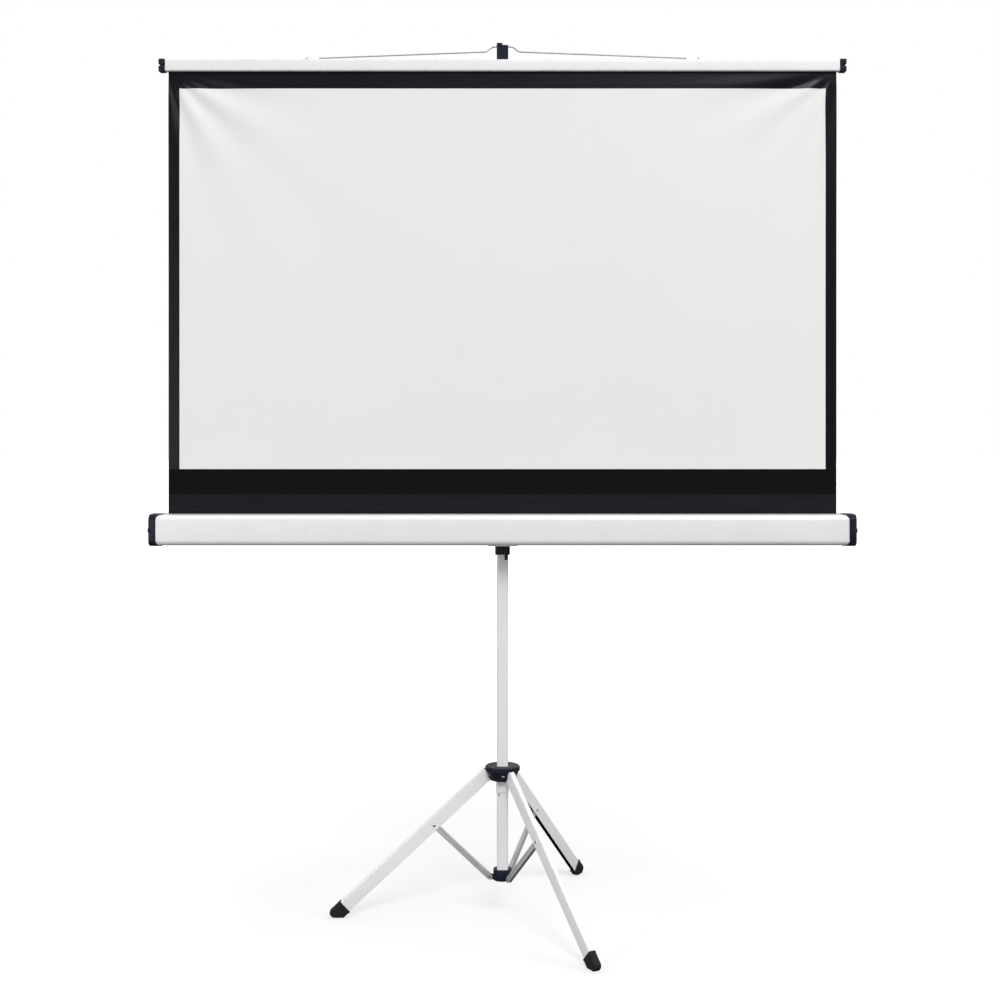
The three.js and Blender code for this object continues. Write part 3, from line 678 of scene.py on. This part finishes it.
pile = hard_finish(
    "black_pile", colour=(0.008, 0.008, 0.009), shade=(0.02, 0.02, 0.021), worn=(0.03, 0.03, 0.03),
    roughness=(0.85, 0.95), clouds=300.0, grain=2600.0, depth=0.0006, wear=0.2,
)
PILE_FRONT, PILE_REAR = -0.0645, -0.0615
PILE_SHORT = 0.004
PILE_DEEP = 0.008
PILE_PROUD = 0.0004
PILE_SEAT = 0.0003
PILE_ROUND = 0.0009
pile_spans = {
    "front": (SLOT_FRONT + PILE_SEAT, PILE_FRONT),
    "rear": (PILE_REAR, SLOT_REAR - PILE_SEAT),
}
for name, (front, rear) in pile_spans.items():
    strip = block(
        (shell_low.x + PILE_SHORT, front, shell_high.z - PILE_DEEP),
        (shell_high.x - PILE_SHORT, rear, shell_high.z + PILE_PROUD),
    )
    round_edges(strip, [edge for edge in strip.edges if along(edge, 0)], PILE_ROUND, 3)
    piece(f"slot_pile_{name}", strip, pile, "case", "rolled_cloth")


# Case end caps
# A black moulded cap is pushed into each end of the shell. Its rim runs round the shell's
# corners, a rib crosses it at mid height, and two screws hold it.

CAP_RIM = 0.0035
CAP_CORNER = 0.015
CAP_REACH = 0.013
CAP_BODY_SHORT = 0.0025
RIB_HALF = 0.0052
RIB_START = 0.004
RIB_PROUD = 0.0008
RIB_TURN = 0.008
RIB_ROUND = 0.0016
SCREW_RISE = 0.021
SCREW_RADIUS = 0.004
SCREW_HEIGHT = 0.0012


def end_cap(low, high, way, corner, rim, web):
    """A rounded cap whose outer end faces along x by way, with a rib across it.

    Its inner edge reaches further over the shell towards the top and the bottom, in a hollow curve.
    """
    outer = high.x if way > 0 else low.x
    inner = low.x if way > 0 else high.x
    short = outer - way * CAP_BODY_SHORT
    shape = block((min(inner, short), low.y, low.z), (max(inner, short), high.y, high.z))
    round_edges(shape, [edge for edge in shape.edges if along(edge, 0)], corner, 8)
    middle = (low.z + high.z) / 2
    straight = (high.z - low.z) / 2 - web
    for vertex in shape.verts:
        if abs(vertex.co.x - inner) < 1e-6:
            climb = min(web, max(0, abs(vertex.co.z - middle) - straight))
            vertex.co.x -= way * (web - (web * web - climb * climb) ** 0.5)
    outside = [
        edge for edge in shape.edges if all(abs(vertex.co.x - short) < 1e-5 for vertex in edge.verts)
    ]
    round_edges(shape, outside, rim, 5)
    rib = block(
        (min(inner + way * RIB_START, outer), low.y - RIB_PROUD, middle - RIB_HALF),
        (max(inner + way * RIB_START, outer), high.y + RIB_PROUD, middle + RIB_HALF),
    )
    round_edges(rib, [edge for edge in rib.edges if along(edge, 2)], RIB_TURN, 5)
    round_edges(rib, [edge for edge in rib.edges if not along(edge, 2)], RIB_ROUND, 2)
    add_shape(shape, rib)
    return shape


for side, way in (("left", -1), ("right", 1)):
    node = f"case_cap_{side}"
    low, high = (Vector(corner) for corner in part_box(node))
    cap = end_cap(low, high, way, CAP_CORNER, CAP_RIM, CAP_REACH)
    piece(f"{node}_moulding", cap, black_plastic, "case", "black_plastic", node)
    outer = (high.x if way > 0 else low.x) - way * CAP_BODY_SHORT
    middle_y, middle_z = (low.y + high.y) / 2, (low.z + high.z) / 2
    screws = [((outer, middle_y, middle_z + rise), (way, 0, 0)) for rise in (-SCREW_RISE, SCREW_RISE)]
    rivet_heads(f"{node}_screws", screws, SCREW_RADIUS, SCREW_HEIGHT, "case")


# Spring roller inside the case
# A thin steel tube on moulded plugs, with a long torsion spring on its shaft and the last
# turns of the screen wound on it. It hangs between two steel plates.

roller_steel = hard_finish(
    "roller_steel", colour=(0.40, 0.41, 0.42), shade=(0.31, 0.32, 0.33), worn=(0.6, 0.6, 0.6),
    roughness=(0.3, 0.45), clouds=25.0, grain=900.0, depth=0.00005, wear=0.4, metallic=0.8,
)
rolled_back = hard_finish(
    "rolled_back", colour=(0.012, 0.012, 0.014), shade=(0.022, 0.022, 0.024), worn=(0.03, 0.03, 0.03),
    roughness=(0.7, 0.85), clouds=18.0, grain=1800.0, depth=0.0001, wear=0.1,
)
for node, material in {
    "roller_tube": roller_steel, "screen_roll": rolled_back, "roller_plug_left": black_plastic,
    "roller_plug_right": black_plastic, "spring_shaft": bright_steel, "roller_spring": bright_steel,
    "roller_plate_left": roller_steel, "roller_plate_right": roller_steel,
}.items():
    frame["nodes"][node].material_slots[0].material = material


# Screen cloth
# A coated glass cloth, matt white in front with a printed black border and black behind.
# It is drawn taut from the roller to the slat, with a few pulls at its upper corners.

CLOTH_LOW, CLOTH_HIGH = (Vector(corner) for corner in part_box("screen_cloth"))
CLOTH_WIDE = CLOTH_HIGH.x - CLOTH_LOW.x
CLOTH_TALL = CLOTH_HIGH.z - CLOTH_LOW.z
CLOTH_THICK = CLOTH_HIGH.y - CLOTH_LOW.y
SIDE_BORDER = 0.027
WHITE_TOP = 2.0665
WHITE_BOTTOM = 1.127
LEADER_TOP = 1.065
PULL_REACH = 0.2
PULL_DEPTH = 0.0065
PULL_FREE = 0.035
PULL_COUNT = 13
PULL_TURN = 0.6
PRINT_EDGE = 0.0004
LEADER_EDGE = 0.001
THREADS = 320.0
SLAT_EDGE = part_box("slat")[0][2]


def pull(x, z):
    """How far a diagonal pull from the nearer upper corner lifts the cloth."""
    aside = CLOTH_HIGH.x - abs(x)
    below = SLAT_EDGE - z
    away = hypot(aside, below)
    if below < 0 or away < 1e-6:
        return 0.0
    waves = sin(PULL_COUNT * atan2(below, aside) + PULL_TURN)
    freed = min(1, below / PULL_FREE) ** 2
    return PULL_DEPTH * waves * freed * (away / PULL_REACH) * exp(1 - 2 * away / PULL_REACH)


def cloth_mesh():
    shape = bmesh.new()
    bmesh.ops.create_grid(shape, x_segments=220, y_segments=150, size=0.5)
    bmesh.ops.scale(shape, vec=(CLOTH_WIDE, CLOTH_TALL, 1), verts=shape.verts)
    bmesh.ops.rotate(shape, cent=(0, 0, 0), matrix=Matrix.Rotation(pi / 2, 3, "X"), verts=shape.verts)
    bmesh.ops.translate(shape, vec=(0, CLOTH_LOW.y, (CLOTH_LOW.z + CLOTH_HIGH.z) / 2), verts=shape.verts)
    for vertex in shape.verts:
        vertex.co.y -= pull(vertex.co.x, vertex.co.z)
    bmesh.ops.solidify(shape, geom=shape.faces[:], thickness=CLOTH_THICK)
    bmesh.ops.recalc_face_normals(shape, faces=shape.faces)
    lay = shape.loops.layers.uv.new("cloth")
    for face in shape.faces:
        face.material_index = 0 if face.normal.y < -0.5 else 1
        for loop in face.loops:
            across = (loop.vert.co.x - CLOTH_LOW.x) / CLOTH_WIDE
            loop[lay].uv = (across, (loop.vert.co.z - CLOTH_LOW.z) / CLOTH_TALL)
    return shape


def weave_group():
    """The crossing of fine warp and weft threads, as a height."""
    group, ins, outs = new_group(
        "fine_weave", {"Vector": "NodeSocketVector", "Threads": "NodeSocketFloat"},
        {"Height": "NodeSocketFloat"},
    )
    threads = [
        add_node(
            group, "ShaderNodeTexWave", {"Vector": ins.outputs["Vector"], "Scale": ins.outputs["Threads"]},
            bands_direction=way,
        )
        for way in ("X", "Y")
    ]
    warp, weft = (thread.outputs["Fac"] for thread in threads)
    group.links.new(calc(group, "MULTIPLY", warp, weft), outs.inputs["Height"])
    return group


WEAVE = weave_group()


def beyond(tree, first, second, edge):
    """Goes from 0 to 1 where the first value passes the second, over a narrow edge."""
    past = calc(tree, "SUBTRACT", first, second)
    made = add_node(tree, "ShaderNodeMapRange", {"Value": past, "From Min": -edge, "From Max": edge})
    return made.outputs["Result"]


def toned(tree, share, first, second):
    made = add_node(tree, "ShaderNodeMix", {0: share, 6: first, 7: second}, data_type="RGBA")
    return made.outputs[2]


def front_cloth():
    material = bpy.data.materials.new("front_cloth")
    material.use_nodes = True
    tree = material.node_tree
    shader = tree.nodes["Principled BSDF"]
    lay = add_node(tree, "ShaderNodeUVMap", uv_map="cloth").outputs["UV"]
    spread = add_node(
        tree, "ShaderNodeMapping",
        {"Vector": lay, "Location": (CLOTH_LOW.x, CLOTH_LOW.z, 0), "Scale": (CLOTH_WIDE, CLOTH_TALL, 1)},
    ).outputs["Vector"]
    parts = add_node(tree, "ShaderNodeSeparateXYZ", {0: spread})
    height = parts.outputs["Y"]
    aside = calc(tree, "ABSOLUTE", parts.outputs["X"], 0.0)
    inside = calc(tree, "SUBTRACT", CLOTH_HIGH.x - SIDE_BORDER, aside)
    under = calc(tree, "SUBTRACT", WHITE_TOP, height)
    above = calc(tree, "SUBTRACT", height, WHITE_BOTTOM)
    nearest = calc(tree, "MINIMUM", calc(tree, "MINIMUM", inside, under), above)
    white = beyond(tree, nearest, 0.0, PRINT_EDGE)
    leader = beyond(tree, LEADER_TOP, height, LEADER_EDGE)
    low_band = beyond(tree, WHITE_BOTTOM, height, PRINT_EDGE)
    cloudy = add_node(tree, "ShaderNodeTexNoise", {"Vector": spread, "Scale": 3.2, "Detail": 4.0})
    drawn = add_node(tree, "ShaderNodeMapping", {"Vector": spread, "Scale": (2.0, 60.0, 1)}).outputs["Vector"]
    streaky = add_node(tree, "ShaderNodeTexNoise", {"Vector": drawn, "Scale": 3.0, "Detail": 4.0})
    cloud, streak = cloudy.outputs["Fac"], streaky.outputs["Fac"]
    field = toned(tree, cloud, (0.83, 0.83, 0.825, 1), (0.80, 0.80, 0.792, 1))
    border = toned(tree, cloud, (0.005, 0.006, 0.009, 1), (0.009, 0.010, 0.014, 1))
    satin = toned(tree, streak, (0.002, 0.003, 0.004, 1), (0.013, 0.014, 0.018, 1))
    lower = toned(tree, leader, (0.0015, 0.0015, 0.002, 1), satin)
    dark = toned(tree, low_band, border, lower)
    tree.links.new(toned(tree, white, dark, field), shader.inputs["Base Color"])
    matt = calc(tree, "MAXIMUM", white, low_band)
    gloss = add_node(tree, "ShaderNodeMapRange", {"Value": matt, "To Min": 0.28, "To Max": 0.9})
    tree.links.new(gloss.outputs["Result"], shader.inputs["Roughness"])
    weave = add_node(tree, "ShaderNodeGroup", node_tree=WEAVE)
    tree.links.new(spread, weave.inputs["Vector"])
    weave.inputs["Threads"].default_value = THREADS
    bump = add_node(
        tree, "ShaderNodeBump", {"Height": weave.outputs["Height"], "Strength": 0.25, "Distance": 0.00015}
    )
    tree.links.new(bump.outputs["Normal"], shader.inputs["Normal"])
    shader.inputs["Specular IOR Level"].default_value = 0.18
    return material


back_cloth = hard_finish(
    "back_cloth", colour=(0.009, 0.009, 0.011), shade=(0.019, 0.019, 0.021), worn=(0.02, 0.02, 0.02),
    roughness=(0.46, 0.72), clouds=3.0, grain=1800.0, depth=0.00018, wear=0.0, specular=0.3,
)
cloth = piece("screen_sheet", cloth_mesh(), front_cloth(), "case", "screen_cloth", "screen_cloth", crease=60)
cloth.data.materials.append(back_cloth)
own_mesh(cloth)


# Slat and its end caps
# A rounded enamelled steel section grips the hem of the screen on a steel rod. A black
# moulded cap with two lobes closes each end.

slat_low, slat_high = (Vector(corner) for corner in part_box("slat"))
HEM_FRONT, HEM_REAR = -0.065, -0.061
SLAT_CORNER = 0.004
SLAT_WALL = 0.0016
LOBE_GAP = 0.0018
LOBE_ROUND = 0.0026
CORE_INSET = 0.003
section = slotted_shell(slat_low, slat_high, SLAT_CORNER, SLAT_WALL, slat_low.z, HEM_FRONT, HEM_REAR)
piece("slat_section", section, white_enamel, "slat", "white_enamel", "slat")
frame["nodes"]["hem_rod"].material_slots[0].material = bright_steel


def lobed_cap(low, high, way):
    """A slat cap: an upper and a lower lobe on a narrower core."""
    outer = high.x if way > 0 else low.x
    inner = low.x if way > 0 else high.x
    middle = (low.z + high.z) / 2
    inset = Vector((0, CORE_INSET, CORE_INSET))
    core_end = outer - way * CORE_INSET
    shape = block(
        Vector((min(inner, core_end), low.y, low.z)) + inset,
        Vector((max(inner, core_end), high.y, high.z)) - inset,
    )
    round_edges(shape, shape.edges[:], LOBE_ROUND, 3)
    for bottom, top in ((low.z, middle - LOBE_GAP), (middle + LOBE_GAP, high.z)):
        lobe = block((low.x, low.y, bottom), (high.x, high.y, top))
        round_edges(lobe, lobe.edges[:], LOBE_ROUND, 4)
        add_shape(shape, lobe)
    return shape


for side, way in (("left", -1), ("right", 1)):
    node = f"slat_cap_{side}"
    low, high = (Vector(corner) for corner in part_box(node))
    piece(f"{node}_moulding", lobed_cap(low, high, way), black_plastic, "slat", "black_plastic", node)


# Bail and its clips
# The handle that hooks the screen up is one steel wire, bent to a shallow peak and turning
# in a small moulded clip near each end of the slat.

BAIL_WIRE = 0.0016
BAIL_LEAN = radians(32)
BAIL_BENDS = [(-0.486, 0), (-0.457, 0), (-0.040, 0.022), (-0.027, 0.037), (-0.020, 0.0395)]
BEND_ROOM = 0.006


def rounded_way(points, room, steps=7):
    """The points of a bent wire, with each corner turned into a short curve."""
    way = [points[0]]
    for before, corner, after in zip(points, points[1:], points[2:]):
        start = corner + (before - corner).normalized() * min(room, (before - corner).length / 2)
        end = corner + (after - corner).normalized() * min(room, (after - corner).length / 2)
        way += interpolate_bezier(start, start.lerp(corner, 0.66), end.lerp(corner, 0.66), end, steps)
    return [*way, points[-1]]


def bent_wire(points, radius):
    """A round wire along points, as a bmesh with closed ends."""
    curve = bpy.data.curves.new("wire", "CURVE")
    curve.dimensions = "3D"
    curve.bevel_depth = radius
    curve.bevel_resolution = 3
    curve.use_fill_caps = True
    line = curve.splines.new("POLY")
    line.points.add(len(points) - 1)
    for knot, point in zip(line.points, points):
        knot.co = (*point, 1)
    holder = bpy.data.objects.new("wire", curve)
    mesh = bpy.data.meshes.new_from_object(holder)
    shape = bmesh.new()
    shape.from_mesh(mesh)
    bmesh.ops.remove_doubles(shape, verts=shape.verts, dist=1e-7)
    bpy.data.objects.remove(holder)
    bpy.data.curves.remove(curve)
    bpy.data.meshes.remove(mesh)
    return shape


wire_steel = hard_finish(
    "wire_steel", colour=(0.40, 0.405, 0.41), shade=(0.30, 0.305, 0.31), worn=(0.50, 0.50, 0.50),
    roughness=(0.38, 0.52), clouds=70.0, grain=1500.0, depth=0.00003, wear=0.3, metallic=0.7,
)
bail_pivot = Vector(joints["bail_swing"]["pos_m"])
half_bail = [
    bail_pivot + Vector((x, up * sin(BAIL_LEAN), up * cos(BAIL_LEAN))) for x, up in BAIL_BENDS
]
whole_bail = half_bail + [Vector((-point.x, point.y, point.z)) for point in reversed(half_bail)]
piece(
    "bail_wire", bent_wire(rounded_way(whole_bail, BEND_ROOM), BAIL_WIRE), wire_steel,
    "bail", "bright_steel", "bail_handle",
)
for side in ("left", "right"):
    node = f"bail_clip_{side}"
    piece(f"{node}_moulding", softened(node, radius=0.0006), white_enamel, "slat", "white_enamel", node)


# Extension tube and hook
# The slimmest tube slides in the middle one and ends in a black moulded hook, whose lip
# stands taller on the left and keeps the bail's wire in its notch.

EXTENSION_CORNER = 0.003
EXTENSION_WALL = 0.0013
piece(
    "extension_tube_drawn", drawn_tube("extension_tube", EXTENSION_CORNER, EXTENSION_WALL), white_enamel,
    "extension", "white_enamel", "extension_tube",
)
HOOK_ROUND = 0.0009
HOOK_RIM = 0.0032
HOOK_DISH = 0.0016


def hook_shape():
    """The hook, with a dished panel inside the rim of its front face. The dish's walls are marked as rubbed,
    and their lighter patches of worn colour are a painted highlight.
    """
    shape = softened("hook_head", HOOK_ROUND)
    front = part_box("hook_head")[0][1]
    faces = [f for f in shape.faces if f.normal.y < -0.99 and abs(f.calc_center_median().y - front) < 1e-5]
    panel = max(faces, key=lambda face: face.calc_area())
    bmesh.ops.inset_individual(shape, faces=[panel], thickness=HOOK_RIM, depth=0, use_even_offset=True)
    dish_with_highlight = bmesh.ops.inset_individual(
        shape, faces=[panel], thickness=HOOK_DISH, depth=-HOOK_DISH, use_even_offset=True,
    )
    # Painted highlight: the walls of the dish take the rubbed marking, so they get lighter patches of worn
    # colour.
    rub = shape.faces.layers.float["rub"]
    for face in dish_with_highlight["faces"]:
        face[rub] = 1.0
    return shape


piece("hook_moulding", hook_shape(), black_plastic, "extension", "black_plastic", "hook_head")
frame["nodes"]["extension_guide"].material_slots[0].material = black_plastic
